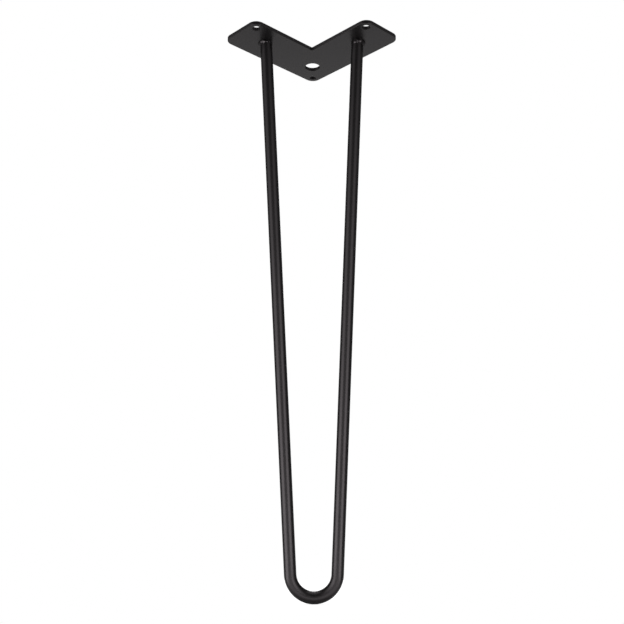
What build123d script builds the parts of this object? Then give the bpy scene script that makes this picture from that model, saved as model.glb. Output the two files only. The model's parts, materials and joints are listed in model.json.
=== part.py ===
from build123d import *
from math import asin, atan2, cos, hypot, radians, sin, sqrt, tan
import os

# Hairpin table leg: one round steel rod, bent into a narrow V with a round foot and welded by both ends under
# an L-shaped mounting plate, which screws to the underside of a table's corner.
#
# Millimetres, +Z up. The origin is on the axis of the plate's centre hole, on the top face, which meets the
# table. +Y points outwards, to the table's corner, and the plate's arms run back from there to -X and +X.

# Driving dimensions of the whole leg
LEG_HEIGHT = 457.0  # top face of the plate to the floor
SPLAY_ANGLE = 9.0  # degrees by which the rod's plane leans outwards from the plate's normal

# Driving dimensions of the mounting plate
PLATE_THICKNESS = 3.0
ARM_LENGTH = 103.5  # along an arm's outer edge, from the outer corner before it is rounded
ARM_WIDTH = 40.5
CORNER_RADIUS = 7.5  # outer corner and arm ends
INNER_CORNER_RADIUS = 0.6  # left by the cutter between the arms
EDGE_ROUND = 0.4  # soft edge of the outline, above and below
CENTRE_HOLE_DIAMETER = 13.0
SCREW_HOLE_DIAMETER = 6.5  # near the arms' ends
CORNER_HOLE_DIAMETER = 5.5  # screw hole at the outer corner
SCREW_HOLE_INSET = 6.7  # from a screw hole's centre to each of the two edges beside it

# Driving dimensions of the rod
ROD_DIAMETER = 10.0
ROD_SPACING = 76.5  # between the centres of its two ends, at the plate's underside
ROD_END_INSET = 21.5  # from the centre of an end to its arm's outer edge
BEND_INSIDE_RADIUS = 14.0  # inside of the foot

# Driving dimensions of the weld beads
WELD_OUTER_LEG = 1.9  # how far a bead stands out from the rod at the plate, away from the rod's other end
WELD_INNER_LEG = 0.3  # the same, towards the other end
WELD_HEIGHT = 2.8  # depth below the plate at which a bead has sunk into the rod all round
WELD_TOE = 0.6  # how deep it has sunk there
WELD_CROWN = 1.4  # bulge of the bead's face: 0 is a straight fillet

# Derived sizes
DIAGONAL = sqrt(2)  # of a unit square
CORNER_TURN = -135.0  # degrees that turn the plate's outer corner to +Y
CORNER_Y = ARM_WIDTH / DIAGONAL  # outer corner, so that the centre hole, midway between the corners, is at 0
ROD_RADIUS = ROD_DIAMETER / 2
BEND_RADIUS = BEND_INSIDE_RADIUS + ROD_RADIUS  # of the rod's centre line
ROD_END_X = ROD_SPACING / 2
ROD_END_Y = CORNER_Y - ROD_END_X - ROD_END_INSET * DIAGONAL
FOOT_DROP = (LEG_HEIGHT - ROD_RADIUS - PLATE_THICKNESS) / cos(radians(SPLAY_ANGLE))  # along the rod's plane
BEND_DROP = FOOT_DROP - BEND_RADIUS  # from the plate's underside to the bend's centre
TAPER_ANGLE = atan2(ROD_END_X, BEND_DROP) - asin(BEND_RADIUS / hypot(ROD_END_X, BEND_DROP))
WELD_SECTIONS = (0.0, 0.5, 1.0)  # shares of the weld's height at which its outline is drawn


def plate_outline():
    """L-shaped outline of the plate, in axes that run along its two outer edges."""
    inner_corner = (ARM_WIDTH, ARM_WIDTH)
    outline = Polygon(
        (0, 0),
        (ARM_LENGTH, 0),
        (ARM_LENGTH, ARM_WIDTH),
        inner_corner,
        (ARM_WIDTH, ARM_LENGTH),
        (0, ARM_LENGTH),
        align=None,
    )
    outline = fillet(outline.vertices().sort_by_distance(inner_corner)[1:], CORNER_RADIUS)
    return fillet(outline.vertices().sort_by_distance(inner_corner)[0], INNER_CORNER_RADIUS)


def plate_holes():
    """Centre hole and the three screw holes, in the axes of the plate's outer edges."""
    arm_end = ARM_LENGTH - SCREW_HOLE_INSET
    inner_edge = ARM_WIDTH - SCREW_HOLE_INSET
    holes = [
        (ARM_WIDTH / 2, ARM_WIDTH / 2, CENTRE_HOLE_DIAMETER),
        (SCREW_HOLE_INSET, SCREW_HOLE_INSET, CORNER_HOLE_DIAMETER),
        (arm_end, inner_edge, SCREW_HOLE_DIAMETER),
        (inner_edge, arm_end, SCREW_HOLE_DIAMETER),
    ]
    return [Pos(x, y) * Circle(diameter / 2) for x, y, diameter in holes]


def mounting_plate():
    """Flat plate with softened outline edges and holes cut through after them."""
    place = Location((0, CORNER_Y, 0), (0, 0, CORNER_TURN))
    slab = extrude(place * plate_outline(), amount=PLATE_THICKNESS, dir=(0, 0, -1))
    rims = slab.faces().sort_by(Axis.Z)[0].edges() + slab.faces().sort_by(Axis.Z)[-1].edges()
    slab = fillet(rims, EDGE_ROUND)
    holes = [extrude(place * hole, amount=PLATE_THICKNESS, dir=(0, 0, -1)) for hole in plate_holes()]
    return slab - holes


def rod_plane():
    """Plane of the bent rod: its x axis joins the rod's ends, and its y axis runs down to the foot."""
    splay = radians(SPLAY_ANGLE)
    return Plane(
        origin=(0, ROD_END_Y, -PLATE_THICKNESS),
        x_dir=(1, 0, 0),
        z_dir=(0, cos(splay), sin(splay)),
    )


def rod_line(drop):
    """Distance of the rod's straight runs from the leg's middle, this far down the rod's plane."""
    return ROD_END_X - drop * tan(TAPER_ANGLE)


def hairpin_rod():
    """Two straight runs and the bend of the foot between them, with both ends cut flush with the plate."""
    start = -ROD_DIAMETER
    bend_start = BEND_DROP + BEND_RADIUS * sin(TAPER_ANGLE)
    half_gap = BEND_RADIUS * cos(TAPER_ANGLE)
    right_run = Line((rod_line(start), start), (half_gap, bend_start))
    bend = ThreePointArc((half_gap, bend_start), (0, FOOT_DROP), (-half_gap, bend_start))
    left_run = Line((-half_gap, bend_start), (-rod_line(start), start))
    path = rod_plane() * Wire([right_run, bend, left_run])
    section = Plane(origin=path @ 0, z_dir=path % 0) * Circle(ROD_RADIUS)
    rod = sweep(section, path=path)
    return split(rod, bisect_by=Plane.XY.offset(-PLATE_THICKNESS), keep=Keep.BOTTOM)


def weld_reach(leg, share):
    """How far a bead stands out from the rod at a share of its height, from its leg at the plate."""
    return leg * (1 - share) * (1 + WELD_CROWN * share) - WELD_TOE * share


def weld_section(side, share):
    """Round outline of a bead, level with the plate, at a share of its height. Side is -1 left, +1 right."""
    depth = WELD_HEIGHT * share
    drop = depth / cos(radians(SPLAY_ANGLE))
    axis_point = rod_plane().from_local_coords((side * rod_line(drop), drop, 0))
    outer = weld_reach(WELD_OUTER_LEG, share)
    inner = weld_reach(WELD_INNER_LEG, share)
    centre = axis_point + Vector(side * (outer - inner) / 2, 0, 0)
    return Pos(centre) * Circle(ROD_RADIUS + (outer + inner) / 2)


def weld_bead(side, rod):
    """Fillet bead round one end of the rod, fullest on its outer side, seated on the rod and the plate."""
    return loft([weld_section(side, share) for share in WELD_SECTIONS]) - rod


def build():
    """All pieces of the leg, by node name."""
    rod = hairpin_rod()
    return {
        "mounting_plate": mounting_plate(),
        "hairpin_rod": rod,
        "left_weld_bead": weld_bead(-1, rod),
        "right_weld_bead": weld_bead(1, rod),
    }


os.makedirs("parts", exist_ok=True)
for name, piece in build().items():
    export_step(piece, f"parts/{name}.step")
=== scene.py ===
"""Hairpin table leg in black powder coat: a bent steel rod, welded by both ends under an L-shaped plate.

Metres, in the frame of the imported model: +Z is up, the origin is on the axis of the plate's centre hole and
on its top face, and +Y points outwards, to the corner of the table that the leg carries.
"""

import json
import logging
import random
from dataclasses import dataclass
from enum import Enum
from functools import cached_property
from math import asin, atan2, cos, hypot, pi, radians, sin, sqrt, tan

import bmesh
import bpy
from mathutils import Matrix, Vector


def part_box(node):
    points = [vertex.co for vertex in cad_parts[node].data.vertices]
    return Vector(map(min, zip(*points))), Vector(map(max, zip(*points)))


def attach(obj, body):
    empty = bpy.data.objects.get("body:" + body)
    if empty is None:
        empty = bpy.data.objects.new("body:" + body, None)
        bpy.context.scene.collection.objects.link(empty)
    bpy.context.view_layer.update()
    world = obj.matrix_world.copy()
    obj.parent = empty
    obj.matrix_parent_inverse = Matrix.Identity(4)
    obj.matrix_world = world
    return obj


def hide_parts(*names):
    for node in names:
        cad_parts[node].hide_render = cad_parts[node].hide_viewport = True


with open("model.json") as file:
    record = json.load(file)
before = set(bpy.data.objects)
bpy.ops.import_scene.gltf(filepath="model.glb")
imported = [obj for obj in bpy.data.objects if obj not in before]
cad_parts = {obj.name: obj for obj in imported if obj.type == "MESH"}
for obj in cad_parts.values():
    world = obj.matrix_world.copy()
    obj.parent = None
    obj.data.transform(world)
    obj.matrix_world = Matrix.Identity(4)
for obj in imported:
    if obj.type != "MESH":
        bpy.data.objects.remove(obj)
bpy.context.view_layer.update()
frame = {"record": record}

BODY = "root"
UP = Vector((0.0, 0.0, 1.0))
MM_PER_METRE = 1000.0
MERGE_DISTANCE = 1e-7  # points that lie closer are one point
LAMP_POWER = 4.0  # watts that an area lamp needs for each square metre and unit of radiance

Colour = tuple[float, float, float, float]
Span = tuple[float, float]
Edges = list[bmesh.types.BMEdge]
Verts = list[bmesh.types.BMVert]
WHITE: Colour = (1.0, 1.0, 1.0, 1.0)
WHOLE: Span = (0.0, 1.0)

log = logging.getLogger("hairpin_leg")


class Side(Enum):
    """The leg's two sides, by the sign of X."""

    LEFT = -1
    RIGHT = 1


class Axis(Enum):
    """Axes of the frame, by Blender's names."""

    X = "X"
    Y = "Y"
    Z = "Z"


class Skin(Enum):
    """The two surfaces of a weld bead."""

    FACE = "face that shows"
    ROOT = "root inside the rod"


class Slope(Enum):
    """Ways from one end of a ramp to the other, by Blender's names."""

    STRAIGHT = "LINEAR"
    SOFT = "SMOOTHSTEP"


class Blend(Enum):
    """Ways to combine two values, by Blender's names."""

    SUM = "ADD"
    PRODUCT = "MULTIPLY"
    LARGER = "MAXIMUM"


def empty_nodes(owner: bpy.types.Material | bpy.types.World) -> bpy.types.NodeTree:
    """Gives a material or a world nodes of its own.

    Args:
        owner: What the nodes are for.

    Returns:
        Its nodes, with none of the usual ones in them.
    """
    owner.use_nodes = True
    owner.node_tree.nodes.clear()
    return owner.node_tree


def coordinate(tree: bpy.types.NodeTree, vector: bpy.types.NodeSocket, axis: Axis) -> bpy.types.NodeSocket:
    """Adds a node that takes one coordinate of a vector.

    Args:
        tree: The nodes to add it to.
        vector: The vector's socket.
        axis: The coordinate's axis.

    Returns:
        The coordinate's socket.
    """
    axes = tree.nodes.new("ShaderNodeSeparateXYZ")
    tree.links.new(vector, axes.inputs["Vector"])
    return axes.outputs[axis.value]


def ramp(
    tree: bpy.types.NodeTree,
    value: bpy.types.NodeSocket,
    source: Span,
    result: Span = WHOLE,
    slope: Slope = Slope.SOFT,
) -> bpy.types.NodeSocket:
    """Adds a ramp from one range of values to another.

    Args:
        tree: The nodes to add it to.
        value: Socket of the value.
        source: Values at the ramp's ends.
        result: What the ramp gives at its ends.
        slope: The way between the ends.

    Returns:
        The socket of the result.
    """
    node = tree.nodes.new("ShaderNodeMapRange")
    node.interpolation_type = slope.value
    node.inputs["From Min"].default_value, node.inputs["From Max"].default_value = source
    node.inputs["To Min"].default_value, node.inputs["To Max"].default_value = result
    tree.links.new(value, node.inputs["Value"])
    return node.outputs["Result"]


def combine(
    tree: bpy.types.NodeTree,
    blend: Blend,
    first: bpy.types.NodeSocket,
    second: bpy.types.NodeSocket,
) -> bpy.types.NodeSocket:
    """Adds a node that combines two values.

    Args:
        tree: The nodes to add it to.
        blend: How they are combined.
        first: Socket of the first value.
        second: Socket of the second value.

    Returns:
        The socket of the result.
    """
    node = tree.nodes.new("ShaderNodeMath")
    node.operation = blend.value
    tree.links.new(first, node.inputs[0])
    tree.links.new(second, node.inputs[1])
    return node.outputs[0]


def seen_straight(tree: bpy.types.NodeTree, path: bpy.types.Node) -> bpy.types.NodeSocket:
    """Adds a node that is 1 for what the camera sees, also through glass.

    Args:
        tree: The nodes to add it to.
        path: The tree's Light Path node.

    Returns:
        The socket of the result.
    """
    return combine(tree, Blend.LARGER, path.outputs["Is Camera Ray"], path.outputs["Is Transmission Ray"])


@dataclass(frozen=True)
class PowderCoat:
    """Satin black powder coat: a thin plastic film that flowed out with a fine orange peel."""

    slot: str = "black_powder_coat"
    name: str = "satin_black_coat"
    thick_colour: Colour = (0.0027, 0.0025, 0.0026, 1.0)
    thin_colour: Colour = (0.0037, 0.0035, 0.0035, 1.0)
    gloss_tint: Colour = (1.0, 0.91, 0.95, 1.0)
    smooth_roughness: float = 0.30
    dull_roughness: float = 0.37
    film_patch: float = 0.020
    film_layers: float = 3.0
    peel_pitch: float = 0.0011
    peel_layers: float = 1.0
    peel_height: float = 0.000010
    grain_pitch: float = 0.00022
    grain_layers: float = 0.0
    grain_height: float = 0.0000015

    @cached_property
    def material(self) -> bpy.types.Material:
        """Node material of the coat, made once and shared by the pieces that have it.

        Returns:
            The material, whose patterns follow the object's own coordinates.
        """
        made = bpy.data.materials.new(self.name)
        tree = empty_nodes(made)
        output = tree.nodes.new("ShaderNodeOutputMaterial")
        shader = tree.nodes.new("ShaderNodeBsdfPrincipled")
        shader.inputs["Specular Tint"].default_value = self.gloss_tint
        tree.links.new(shader.outputs["BSDF"], output.inputs["Surface"])
        place = tree.nodes.new("ShaderNodeTexCoord").outputs["Object"]

        film = self._noise(tree, place, self.film_patch, self.film_layers)
        colour = tree.nodes.new("ShaderNodeValToRGB")
        colour.color_ramp.elements[0].color = self.thick_colour
        colour.color_ramp.elements[1].color = self.thin_colour
        tree.links.new(film, colour.inputs["Fac"])
        tree.links.new(colour.outputs["Color"], shader.inputs["Base Color"])
        roughness = (self.smooth_roughness, self.dull_roughness)
        tree.links.new(ramp(tree, film, WHOLE, roughness, Slope.STRAIGHT), shader.inputs["Roughness"])

        peel_noise = self._noise(tree, place, self.peel_pitch, self.peel_layers)
        grain_noise = self._noise(tree, place, self.grain_pitch, self.grain_layers)
        peel = self._bump(tree, peel_noise, self.peel_height)
        grain = self._bump(tree, grain_noise, self.grain_height)
        tree.links.new(peel.outputs["Normal"], grain.inputs["Normal"])
        tree.links.new(grain.outputs["Normal"], shader.inputs["Normal"])
        return made

    @staticmethod
    def _noise(
        tree: bpy.types.NodeTree, place: bpy.types.NodeSocket, pitch: float, layers: float
    ) -> bpy.types.NodeSocket:
        """Adds a noise whose lumps are about one pitch wide.

        Args:
            tree: The material's nodes.
            place: Socket of the coordinates.
            pitch: Width of one lump, in metres.
            layers: How many finer layers lie on the lumps.

        Returns:
            The socket of the noise.
        """
        noise = tree.nodes.new("ShaderNodeTexNoise")
        noise.inputs["Scale"].default_value = 1.0 / pitch
        noise.inputs["Detail"].default_value = layers
        tree.links.new(place, noise.inputs["Vector"])
        return noise.outputs["Fac"]

    @staticmethod
    def _bump(tree: bpy.types.NodeTree, noise: bpy.types.NodeSocket, height: float) -> bpy.types.Node:
        """Adds a bump that lifts the surface by a noise.

        Args:
            tree: The material's nodes.
            noise: Socket of the noise.
            height: Height of a full lump, in metres.

        Returns:
            The bump node.
        """
        bump = tree.nodes.new("ShaderNodeBump")
        bump.inputs["Strength"].default_value = 1.0
        bump.inputs["Distance"].default_value = height
        tree.links.new(noise, bump.inputs["Height"])
        return bump


def extruded(bm: bmesh.types.BMesh, ring: Edges) -> tuple[Edges, Verts]:
    """Extrudes a closed ring of edges in place.

    Args:
        bm: The shape.
        ring: Edges of the ring.

    Returns:
        Edges and points of the new ring, which still lies on the old one.
    """
    grown = bmesh.ops.extrude_edge_only(bm, edges=ring)["geom"]
    verts = [item for item in grown if isinstance(item, bmesh.types.BMVert)]
    edges = [item for item in grown if isinstance(item, bmesh.types.BMEdge)]
    fresh = set(verts)
    return [edge for edge in edges if fresh.issuperset(edge.verts)], verts


def mesh_object(bm: bmesh.types.BMesh, name: str, material: bpy.types.Material) -> bpy.types.Object:
    """Turns a modelled shape into an object of the scene.

    Args:
        bm: The shape, in its place in the frame. It is freed here.
        name: The object's name.
        material: Its material.

    Returns:
        The new object, at the origin.
    """
    mesh = bpy.data.meshes.new(name)
    bm.to_mesh(mesh)
    bm.free()
    mesh.materials.append(material)
    made = bpy.data.objects.new(name, mesh)
    bpy.context.scene.collection.objects.link(made)
    return made


def finished_piece(
    bm: bmesh.types.BMesh, name: str, coat: PowderCoat, smooth_angle: float
) -> bpy.types.Object:
    """Closes a modelled shape and turns it into a coated piece of the leg.

    Args:
        bm: The shape, in its place in the frame. It is freed here.
        name: The piece's name.
        coat: Its finish.
        smooth_angle: Edges that turn by less than this, in radians, are shaded as one surface.

    Returns:
        The piece, which rides on the leg's only body.
    """
    bmesh.ops.remove_doubles(bm, verts=bm.verts, dist=MERGE_DISTANCE)
    bmesh.ops.recalc_face_normals(bm, faces=bm.faces)
    for face in bm.faces:
        face.smooth = True
    piece = mesh_object(bm, name, coat.material)
    piece.data.set_sharp_from_angle(angle=smooth_angle)
    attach(piece, BODY)
    return piece


@dataclass(frozen=True)
class MountingPlate:
    """Flat L-shaped plate, with its outer corner to +Y and its arms running back to both sides."""

    coat: PowderCoat
    arm_length: float = 0.1035
    arm_width: float = 0.0405
    corner_radius: float = 0.0075
    inner_corner_radius: float = 0.0006
    corner_turn: float = radians(-135.0)
    edge_round: float = 0.0004
    hole_round: float = 0.0001
    rim_band: float = 0.001
    hole_mounts: tuple[str, ...] = (
        "centre_hole",
        "corner_screw_hole",
        "left_screw_hole",
        "right_screw_hole",
    )
    corner_steps: int = 14
    edge_steps: int = 4
    hole_sides: int = 72
    rim_angle: float = radians(60.0)
    smooth_angle: float = radians(40.0)

    @cached_property
    def underside(self) -> float:
        """Height of the plate's lower face."""
        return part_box("mounting_plate")[0].z

    @property
    def outer_corner(self) -> float:
        """Y of the outer corner before it is rounded; the centre hole lies midway to the inner corner."""
        return self.arm_width / sqrt(2)

    @cached_property
    def holes(self) -> list[tuple[Vector, float]]:
        """Centre and radius of each hole, where the record's mounts have them."""
        mounts = [mount for mount in frame["record"]["mounts"] if mount["name"] in self.hole_mounts]
        return [(Vector(mount["pos_m"]), mount["dims"]["r_mm"] / MM_PER_METRE) for mount in mounts]

    def build(self) -> bpy.types.Object:
        """Models the plate: outline, holes, thickness and soft rims.

        Returns:
            The plate, which stands for its CAD node.
        """
        bm = bmesh.new()
        inner_edges = self._outline(bm) + self._hole_bands(bm)
        bmesh.ops.triangle_fill(bm, use_beauty=True, edges=inner_edges, normal=UP)
        grown = bmesh.ops.extrude_face_region(bm, geom=bm.faces[:])
        lower = [item for item in grown["geom"] if isinstance(item, bmesh.types.BMVert)]
        bmesh.ops.translate(bm, verts=lower, vec=UP * self.underside)
        bmesh.ops.recalc_face_normals(bm, faces=bm.faces)
        self._soften(bm)
        plate = finished_piece(bm, "coated_plate", self.coat, self.smooth_angle)
        flat = plate.modifiers.new("flat_faces", "WEIGHTED_NORMAL")
        flat.keep_sharp = True
        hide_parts("mounting_plate")
        return plate

    def _outline(self, bm: bmesh.types.BMesh) -> Edges:
        """Draws the L-shaped outline with rounded corners, as a band of faces along the plate's edge.

        Args:
            bm: The shape, which gets the band.

        Returns:
            The band's inner edges.
        """
        length, width = self.arm_length, self.arm_width
        corners = [(0, 0), (length, 0), (length, width), (width, width), (width, length), (0, length)]
        turn = Matrix.Translation((0, self.outer_corner, 0)) @ Matrix.Rotation(self.corner_turn, 4, "Z")
        points = [bm.verts.new(turn @ Vector((x, y, 0.0))) for x, y in corners]
        bm.faces.new(points)
        inner = points[corners.index((width, width))]
        outer = [point for point in points if point is not inner]
        for group, radius in ((outer, self.corner_radius), ([inner], self.inner_corner_radius)):
            bmesh.ops.bevel(
                bm,
                geom=group,
                offset=radius,
                offset_type="OFFSET",
                affect="VERTICES",
                segments=self.corner_steps,
                profile=0.5,
                material=-1,
            )
        middle = next(iter(bm.faces))
        self._inset(bm, middle)
        inner_edges = middle.edges[:]
        bmesh.ops.delete(bm, geom=[middle], context="FACES_ONLY")
        return inner_edges

    def _hole_bands(self, bm: bmesh.types.BMesh) -> Edges:
        """Draws the holes, each as a band of faces round its rim.

        Args:
            bm: The shape, which gets the bands.

        Returns:
            The bands' outer edges.
        """
        outer_edges = []
        for centre, radius in self.holes:
            circle = bmesh.ops.create_circle(
                bm,
                cap_ends=True,
                segments=self.hole_sides,
                radius=radius + self.rim_band,
                matrix=Matrix.Translation(centre),
            )
            disc = circle["verts"][0].link_faces[0]
            band = self._inset(bm, disc)
            outer_edges += [edge for face in band for edge in face.edges if edge.is_boundary]
            bmesh.ops.delete(bm, geom=[disc], context="FACES_ONLY")
        return outer_edges

    def _inset(self, bm: bmesh.types.BMesh, face: bmesh.types.BMFace) -> list[bmesh.types.BMFace]:
        """Shrinks a face by the width of a band.

        Args:
            bm: The shape.
            face: The face to shrink.

        Returns:
            Faces of the band round it.
        """
        band = bmesh.ops.inset_region(
            bm,
            faces=[face],
            thickness=self.rim_band,
            use_boundary=True,
            use_even_offset=True,
        )
        return band["faces"]

    def _soften(self, bm: bmesh.types.BMesh) -> None:
        """Rounds the rims of the holes and of the outline, above and below.

        Args:
            bm: The plate.
        """
        rims = [edge for edge in bm.edges if edge.calc_face_angle(0.0) > self.rim_angle]
        hole_rims = [edge for edge in rims if self._on_hole(edge)]
        outline_rims = [edge for edge in rims if not self._on_hole(edge)]
        for group, radius in ((hole_rims, self.hole_round), (outline_rims, self.edge_round)):
            bmesh.ops.bevel(
                bm,
                geom=group,
                offset=radius,
                offset_type="OFFSET",
                affect="EDGES",
                segments=self.edge_steps,
                profile=0.5,
                material=-1,
            )

    def _on_hole(self, edge: bmesh.types.BMEdge) -> bool:
        """Tells whether an edge lies within a hole's band."""
        middle = (edge.verts[0].co + edge.verts[1].co) / 2
        return any((middle - centre).xy.length < radius + self.rim_band for centre, radius in self.holes)


@dataclass(frozen=True)
class HairpinRod:
    """One round rod, bent into a narrow V with a round foot and cut flush under the plate."""

    coat: PowderCoat
    plate: MountingPlate
    diameter: float = 0.010
    spacing: float = 0.0765
    end_inset: float = 0.0215
    bend_inside_radius: float = 0.014
    splay: float = radians(9.0)
    sides: int = 72
    run_steps: int = 60
    bend_steps: int = 96
    smooth_angle: float = radians(40.0)

    @property
    def radius(self) -> float:
        """Radius of the rod."""
        return self.diameter / 2

    @property
    def bend_radius(self) -> float:
        """Radius of the centre line in the foot."""
        return self.bend_inside_radius + self.radius

    @cached_property
    def bend_drop(self) -> float:
        """Distance from the plate down the rod's plane to the centre of the foot's bend."""
        foot = self.plate.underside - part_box("hairpin_rod")[0].z - self.radius
        return foot / cos(self.splay) - self.bend_radius

    @cached_property
    def taper(self) -> float:
        """Angle between each straight run and the leg's middle line."""
        reach = hypot(self.spacing / 2, self.bend_drop)
        return atan2(self.spacing / 2, self.bend_drop) - asin(self.bend_radius / reach)

    @property
    def plane_normal(self) -> Vector:
        """Normal of the rod's plane, pointing outwards."""
        return Vector((0.0, cos(self.splay), sin(self.splay)))

    def point(self, across: float, drop: float) -> Vector:
        """Gives a point of the rod's plane.

        Args:
            across: Distance from the leg's middle, to +X.
            drop: Distance from the plate's underside, down the plane.

        Returns:
            The point in the frame.
        """
        top = self.plate.outer_corner - self.spacing / 2 - self.end_inset * sqrt(2)
        depth = drop * cos(self.splay)
        return Vector((across, top + drop * sin(self.splay), self.plate.underside - depth))

    def half_gap(self, drop: float) -> float:
        """Distance of a straight run's centre line from the leg's middle, this far down the plane."""
        return self.spacing / 2 - drop * tan(self.taper)

    def build(self) -> bpy.types.Object:
        """Models the rod: one run down, the bend of the foot, and the other run up.

        Returns:
            The rod, which stands for its CAD node.
        """
        above = -self.diameter
        tangent_across = self.bend_radius * cos(self.taper)
        tangent_drop = self.bend_drop + self.bend_radius * sin(self.taper)
        start = self.point(-self.half_gap(above), above)
        bend_start = self.point(-tangent_across, tangent_drop)
        bend_end = self.point(tangent_across, tangent_drop)
        finish = self.point(self.half_gap(above), above)

        bm = bmesh.new()
        along = (bend_start - start).to_track_quat("Z", "Y").to_matrix().to_4x4()
        bmesh.ops.create_circle(
            bm,
            cap_ends=False,
            segments=self.sides,
            radius=self.radius,
            matrix=Matrix.Translation(start) @ along,
        )
        ring = self._run(bm, bm.edges[:], bend_start - start)
        bent = bmesh.ops.spin(
            bm,
            geom=ring + list({vert for edge in ring for vert in edge.verts}),
            cent=self.point(0.0, self.bend_drop),
            axis=-self.plane_normal,
            angle=pi - 2 * self.taper,
            steps=self.bend_steps,
            use_merge=False,
            use_duplicate=False,
        )
        ring = [item for item in bent["geom_last"] if isinstance(item, bmesh.types.BMEdge)]
        self._run(bm, ring, finish - bend_end)
        self._cut_flush(bm)
        rod = finished_piece(bm, "coated_rod", self.coat, self.smooth_angle)
        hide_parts("hairpin_rod")
        return rod

    def _run(self, bm: bmesh.types.BMesh, ring: Edges, way: Vector) -> Edges:
        """Extrudes a ring of edges along a straight run.

        Args:
            bm: The shape.
            ring: Edges of the run's first section.
            way: Direction and length of the run.

        Returns:
            Edges of the run's last section.
        """
        for _ in range(self.run_steps):
            ring, verts = extruded(bm, ring)
            bmesh.ops.translate(bm, verts=verts, vec=way / self.run_steps)
        return ring

    def _cut_flush(self, bm: bmesh.types.BMesh) -> None:
        """Cuts the rod's ends off level with the plate's underside and closes them.

        Args:
            bm: The rod, which reaches above the plate.
        """
        bmesh.ops.bisect_plane(
            bm,
            geom=bm.verts[:] + bm.edges[:] + bm.faces[:],
            plane_co=UP * self.plate.underside,
            plane_no=UP,
            clear_outer=True,
        )
        open_edges = [edge for edge in bm.edges if edge.is_boundary]
        bmesh.ops.holes_fill(bm, edges=open_edges, sides=0)  # 0 fills a hole with any number of sides


@dataclass(frozen=True)
class WeldBead:
    """Fillet weld round one end of the rod: fullest on its outer side, laid down in overlapping puddles.

    The legs are how far it stands out from the rod at the plate, and gather draws it to the outer side.
    The toe is the depth to which its lower rim has sunk into the rod, and the root that of its hidden side.
    """

    coat: PowderCoat
    rod: HairpinRod
    side: Side
    height: float
    first_puddle: float
    puddle_rise: float
    outer_leg: float = 0.00175
    inner_leg: float = 0.0003
    gather: float = 1.5
    toe: float = 0.0006
    root: float = 0.0015
    crown: float = 1.4
    puddles: int = 6
    puddle_lag: float = 0.2
    puddle_fade: int = 4
    unevenness: float = 0.1
    puddle_sides: int = 20
    steps: int = 28
    seed: int = 4
    smooth_angle: float = radians(50.0)

    def build(self) -> bpy.types.Object:
        """Models the bead as a ring of outlines: down its face from plate to toe, and back inside the rod.

        Returns:
            The bead, which stands for its CAD node.
        """
        face = [(Skin.FACE, step / self.steps) for step in range(self.steps + 1)]
        stops = [(Skin.ROOT, 0.0), *face, (Skin.ROOT, 1.0), (Skin.ROOT, 0.0)]
        bm = bmesh.new()
        bmesh.ops.create_circle(bm, cap_ends=False, segments=self.puddles * self.puddle_sides, radius=1.0)
        ring = bm.edges[:]
        outlines = [bm.verts[:]]
        while len(outlines) < len(stops):
            ring, verts = extruded(bm, ring)
            outlines.append(verts)
        for verts, (skin, share) in zip(outlines, stops):
            self._shape_outline(bm, verts, skin, share)
        name = self.side.name.lower()
        bead = finished_piece(bm, f"{name}_coated_weld", self.coat, self.smooth_angle)
        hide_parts(f"{name}_weld_bead")
        return bead

    def _shape_outline(self, bm: bmesh.types.BMesh, verts: Verts, skin: Skin, share: float) -> None:
        """Gives one outline of the bead its shape and puts it in its place.

        Args:
            bm: The bead.
            verts: Points of the outline, still on a circle of radius 1 about the origin.
            skin: The surface that the outline is on.
            share: Share of the bead's height, 0 at the plate and 1 at the toe.
        """
        first = self._first_crest(share)
        for vert in verts:
            angle = first + atan2(vert.co.x, -vert.co.y)
            vert.co *= self._radius(skin, angle, share)
        place = Matrix.Translation(self._axis_point(share)) @ Matrix.Rotation(first, 4, "Z")
        bmesh.ops.transform(bm, matrix=place, verts=verts)

    def _radius(self, skin: Skin, angle: float, share: float) -> float:
        """Gives the distance of the bead's surface from the rod's axis.

        Args:
            skin: Which of the two surfaces.
            angle: Direction from the axis, from -Y to +X.
            share: Share of the bead's height.

        Returns:
            The distance; on the face it swells into puddles, which fade out to the bead's sides.
        """
        if skin is Skin.ROOT:
            return self.rod.radius - self.root
        outwards = (1 + self.side.value * sin(angle)) / 2
        leg = self.inner_leg + (self.outer_leg - self.inner_leg) * outwards ** self.gather
        reach = leg * (1 - share) * (1 + self.crown * share) - self.toe * share
        puddle = (angle - self._first_crest(share)) / (2 * pi) * self.puddles
        crest = abs(cos(pi * puddle)) * self._rises[round(puddle) % self.puddles]
        swell = self.puddle_rise * sin(pi * share) * crest * cos(angle) ** self.puddle_fade
        return self.rod.radius + reach + swell

    def _axis_point(self, share: float) -> Vector:
        """Point of the rod's centre line at a share of the bead's height."""
        drop = self.height * share / cos(self.rod.splay)
        return self.rod.point(self.side.value * self.rod.half_gap(drop), drop)

    def _first_crest(self, share: float) -> float:
        """Angle of the first puddle's crest from -Y to +X; at the bead's rims the puddles trail behind."""
        trail = self.puddle_lag * (2 * share - 1) ** 2
        return self.first_puddle - trail * 2 * pi / self.puddles

    @cached_property
    def _rises(self) -> list[float]:
        """How much each puddle rises, as a share of the usual rise."""
        draw = random.Random(self.seed + self.side.value)
        return [1.0 + self.unevenness * draw.uniform(-1, 1) for _ in range(self.puddles)]


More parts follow.
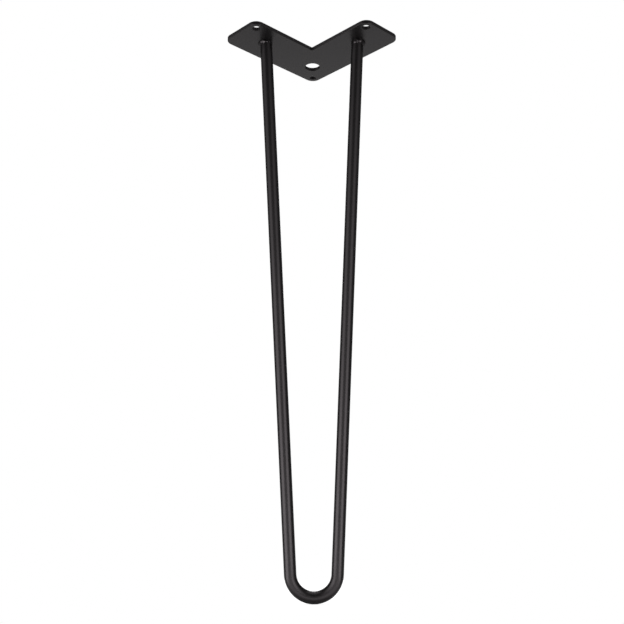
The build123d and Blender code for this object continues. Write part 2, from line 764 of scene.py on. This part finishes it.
@dataclass(frozen=True)
class Softbox:
    """Rectangular studio lamp that faces a point, and may glow less at its head than at its foot."""

    name: str
    place: Vector
    target: Vector
    width: float
    height: float
    foot_radiance: float
    head_radiance: float

    def build(self) -> bpy.types.Object:
        """Makes the lamp, which the camera itself doesn't see.

        Returns:
            The lamp's object.
        """
        data = bpy.data.lights.new(self.name, "AREA")
        data.shape = "RECTANGLE"
        data.size = self.width
        data.size_y = self.height
        data.energy = LAMP_POWER * self.foot_radiance * self.width * self.height
        if self.head_radiance != self.foot_radiance:
            self._fade(data)
        lamp = bpy.data.objects.new(self.name, data)
        lamp.location = self.place
        lamp.rotation_euler = (self.target - self.place).to_track_quat("-Z", "Y").to_euler()
        lamp.visible_camera = False
        bpy.context.scene.collection.objects.link(lamp)
        return lamp

    def _fade(self, data: bpy.types.AreaLight) -> None:
        """Lets the glow of an upright lamp fade from its foot to its head.

        Args:
            data: The lamp's data.
        """
        data.use_nodes = True
        tree = data.node_tree
        glow = next(node for node in tree.nodes if node.type == "EMISSION")
        point = tree.nodes.new("ShaderNodeNewGeometry").outputs["Position"]
        half = self.height / 2
        heights = (self.place.z - half, self.place.z + half)
        glows = (1.0, self.head_radiance / self.foot_radiance)
        fade = ramp(tree, coordinate(tree, point, Axis.Z), heights, glows)
        tree.links.new(fade, glow.inputs["Strength"])


@dataclass(frozen=True)
class WhitePaper:
    """Pale matt paper that takes the leg's shadow, glows for the camera and shows in the leg's gloss, where a
    painted shadow darkens it under and behind the foot.
    """

    foot: Vector
    name: str = "white_paper"
    colour: Colour = (0.8, 0.8, 0.8, 1.0)
    glow: float = 0.8
    gloss: float = 1.0
    # painted shadow: share of the gloss glow left under and behind the foot, and the span in front of the
    # foot over which it comes back
    painted_shadow_gloss: float = 0.1
    painted_shadow_reach: Span = (0.006, 0.018)

    @cached_property
    def material(self) -> bpy.types.Material:
        """Node material of the paper, whose glow in the gloss is dark under and behind the foot: a painted
        shadow.

        Returns:
            The material.
        """
        made = bpy.data.materials.new(self.name)
        tree = empty_nodes(made)
        output = tree.nodes.new("ShaderNodeOutputMaterial")
        paper = tree.nodes.new("ShaderNodeBsdfDiffuse")
        paper.inputs["Color"].default_value = self.colour
        light = tree.nodes.new("ShaderNodeEmission")
        both = tree.nodes.new("ShaderNodeAddShader")
        path = tree.nodes.new("ShaderNodeLightPath")
        place = tree.nodes.new("ShaderNodeNewGeometry").outputs["Position"]

        # Painted shadow: in the gloss the paper's glow falls to a tenth from just in front of the foot
        # backwards, standing in for the leg's shade there.
        near, far = self.painted_shadow_reach
        fade = (self.foot.y - near, self.foot.y - far)
        gloss_with_painted_shadow = ramp(tree, coordinate(tree, place, Axis.Y), fade, (self.painted_shadow_gloss, self.gloss))
        reflected = combine(tree, Blend.PRODUCT, path.outputs["Is Glossy Ray"], gloss_with_painted_shadow)
        straight = ramp(tree, seen_straight(tree, path), WHOLE, (0.0, self.glow), Slope.STRAIGHT)
        tree.links.new(combine(tree, Blend.LARGER, straight, reflected), light.inputs["Strength"])
        tree.links.new(paper.outputs["BSDF"], both.inputs[0])
        tree.links.new(light.outputs["Emission"], both.inputs[1])
        tree.links.new(both.outputs["Shader"], output.inputs["Surface"])
        return made


@dataclass(frozen=True)
class PaperFloor:
    """Strip of paper under the foot, as white as the background but for the leg's shadow."""

    foot: Vector
    width: float = 0.10
    front: float = -0.04
    back: float = 0.40

    def build(self) -> bpy.types.Object:
        """Makes the strip.

        Returns:
            The floor, which isn't part of the leg.
        """
        half = self.width / 2
        corners = [(-half, self.front), (half, self.front), (half, self.back), (-half, self.back)]
        bm = bmesh.new()
        bm.faces.new([bm.verts.new((x, y, self.foot.z)) for x, y in corners])
        floor = mesh_object(bm, "paper_floor", WhitePaper(self.foot).material)
        return floor


@dataclass(frozen=True)
class Room:
    """Dim room with grey walls beside and a grey ground behind the leg, and a white background.

    The spans are shares of the view's direction along one axis, between which a part of the room fades in.
    """

    dim: float = 0.10
    ground: float = 0.42
    ground_fall: Span = (0.1, -0.4)
    ground_depth: Span = (-0.1, 0.6)
    left_wall: float = 0.40
    right_wall: float = 0.22
    left_turn: Span = (-0.4, -0.9)
    right_turn: Span = (0.4, 0.9)
    wall_rise: Span = (0.0, 0.4)
    wall_depth: Span = (0.3, -0.1)
    background_depth: Span = (0.90, 0.96)

    def build(self) -> None:
        """Makes the world: the camera and the gloss straight behind see white, all else sees the room."""
        world = bpy.data.worlds.new("studio")
        bpy.context.scene.world = world
        tree = empty_nodes(world)
        output = tree.nodes.new("ShaderNodeOutputWorld")
        way = tree.nodes.new("ShaderNodeTexCoord").outputs["Generated"]
        room = tree.nodes.new("ShaderNodeBackground")
        room.inputs["Color"].default_value = WHITE
        tree.links.new(self._glow(tree, way), room.inputs["Strength"])

        path = tree.nodes.new("ShaderNodeLightPath")
        behind = ramp(tree, coordinate(tree, way, Axis.Y), self.background_depth)
        reflected = combine(tree, Blend.PRODUCT, path.outputs["Is Glossy Ray"], behind)
        white = tree.nodes.new("ShaderNodeBackground")
        white.inputs["Color"].default_value = WHITE
        white.inputs["Strength"].default_value = 1.0
        mix = tree.nodes.new("ShaderNodeMixShader")
        tree.links.new(combine(tree, Blend.LARGER, seen_straight(tree, path), reflected), mix.inputs["Fac"])
        tree.links.new(room.outputs["Background"], mix.inputs[1])
        tree.links.new(white.outputs["Background"], mix.inputs[2])
        tree.links.new(mix.outputs["Shader"], output.inputs["Surface"])

    def _glow(self, tree: bpy.types.NodeTree, way: bpy.types.NodeSocket) -> bpy.types.NodeSocket:
        """Adds the glow of the room.

        Args:
            tree: The world's nodes.
            way: Socket of the direction.

        Returns:
            The socket of the glow.
        """
        across = coordinate(tree, way, Axis.X)
        back = coordinate(tree, way, Axis.Y)
        up = coordinate(tree, way, Axis.Z)
        below = ramp(tree, up, self.ground_fall)
        behind = ramp(tree, back, self.ground_depth)
        ground = combine(tree, Blend.PRODUCT, below, behind)
        room = ramp(tree, ground, WHOLE, (self.dim, self.ground), Slope.STRAIGHT)

        left = ramp(tree, across, self.left_turn, (0.0, self.left_wall))
        right = ramp(tree, across, self.right_turn, (0.0, self.right_wall))
        above = ramp(tree, up, self.wall_rise)
        beside = combine(tree, Blend.PRODUCT, above, ramp(tree, back, self.wall_depth))
        walls = combine(tree, Blend.PRODUCT, beside, combine(tree, Blend.SUM, left, right))
        return combine(tree, Blend.SUM, room, walls)


@dataclass(frozen=True)
class Studio:
    """Lamps, room and floor round the leg."""

    foot: Vector
    side_level: float = -0.35
    front_level: float = -0.60

    def build(self) -> None:
        """Makes the floor, the room and the lamps."""
        PaperFloor(self.foot).build()
        Room().build()
        for lamp in self._lamps():
            lamp.build()

    def _lamps(self) -> list[Softbox]:
        """Lists the lamps: two upright ones in front, a weak one between them, one behind and one overhead.

        Returns:
            The lamps, not yet made.
        """
        middle = Vector((0.0, 0.0, self.side_level))
        left = Softbox(
            name="left_softbox",
            place=Vector((-0.645, -0.403, self.side_level)),
            target=middle,
            width=0.75,
            height=1.1,
            foot_radiance=3.2,
            head_radiance=0.35,
        )
        right = Softbox(
            name="right_softbox",
            place=Vector((0.50, -0.58, self.side_level)),
            target=middle,
            width=0.62,
            height=1.1,
            foot_radiance=3.1,
            head_radiance=0.25,
        )
        front = Softbox(
            name="front_fill",
            place=Vector((-0.12, -0.79, self.front_level)),
            target=Vector((0.0, 0.0, self.front_level)),
            width=0.55,
            height=1.0,
            foot_radiance=0.8,
            head_radiance=0.25,
        )
        rear = Softbox(
            name="rear_softbox",
            place=Vector((0.0, 1.0, 0.38)),
            target=Vector(),
            width=0.4,
            height=0.7,
            foot_radiance=2.0,
            head_radiance=2.0,
        )
        overhead = Softbox(
            name="overhead",
            place=Vector((0.0, 0.1, 0.9)),
            target=Vector((0.0, 0.1, 0.0)),
            width=1.2,
            height=1.2,
            foot_radiance=0.75,
            head_radiance=0.75,
        )
        return [left, right, front, rear, overhead]


@dataclass(frozen=True)
class PhotoCamera:
    """Camera of the photograph: low, in front of the leg, looking up under the plate."""

    place: tuple[float, float, float] = (0.011134, -0.719602, -0.400658)
    pitch: float = radians(13.708)
    yaw: float = radians(0.947)
    roll: float = radians(-0.080)
    focal_pixels: float = 900.0
    image_side: float = 624.0
    sensor: float = 36.0
    near: float = 0.01

    def build(self) -> bpy.types.Object:
        """Makes the camera and gives it to the scene.

        Returns:
            The camera's object.
        """
        data = bpy.data.cameras.new("photo_camera")
        data.sensor_width = self.sensor
        data.lens = self.sensor * self.focal_pixels / self.image_side
        data.clip_start = self.near
        camera = bpy.data.objects.new("photo_camera", data)
        turn = Matrix.Rotation(self.yaw, 4, "Z") @ Matrix.Rotation(pi / 2 + self.pitch, 4, "X")
        turn = turn @ Matrix.Rotation(self.roll, 4, "Z")
        camera.matrix_world = Matrix.Translation(self.place) @ turn
        bpy.context.scene.collection.objects.link(camera)
        bpy.context.scene.camera = camera
        return camera


def main() -> None:
    """Builds the leg, its studio and its camera."""
    logging.basicConfig(level=logging.INFO, format="%(name)s: %(message)s")
    bpy.context.scene.view_settings.view_transform = "Standard"
    coat = PowderCoat()
    pooled = PowderCoat(name="pooled_black_coat", smooth_roughness=0.20, dull_roughness=0.26)
    plate = MountingPlate(coat)
    rod = HairpinRod(coat, plate)
    left_bead = WeldBead(
        pooled,
        rod,
        Side.LEFT,
        height=0.0025,
        first_puddle=radians(6.6),
        puddle_rise=0.00065,
    )
    right_bead = WeldBead(
        pooled,
        rod,
        Side.RIGHT,
        height=0.0033,
        first_puddle=radians(25.0),
        puddle_rise=0.00055,
    )
    for part in (plate, rod, left_bead, right_bead):
        piece = part.build()
        log.info("%s: %d faces", piece.name, len(piece.data.polygons))
    foot = next(mount for mount in frame["record"]["mounts"] if mount["name"] == "foot")
    Studio(Vector(foot["pos_m"])).build()
    PhotoCamera().build()


if __name__ == "__main__":
    main()
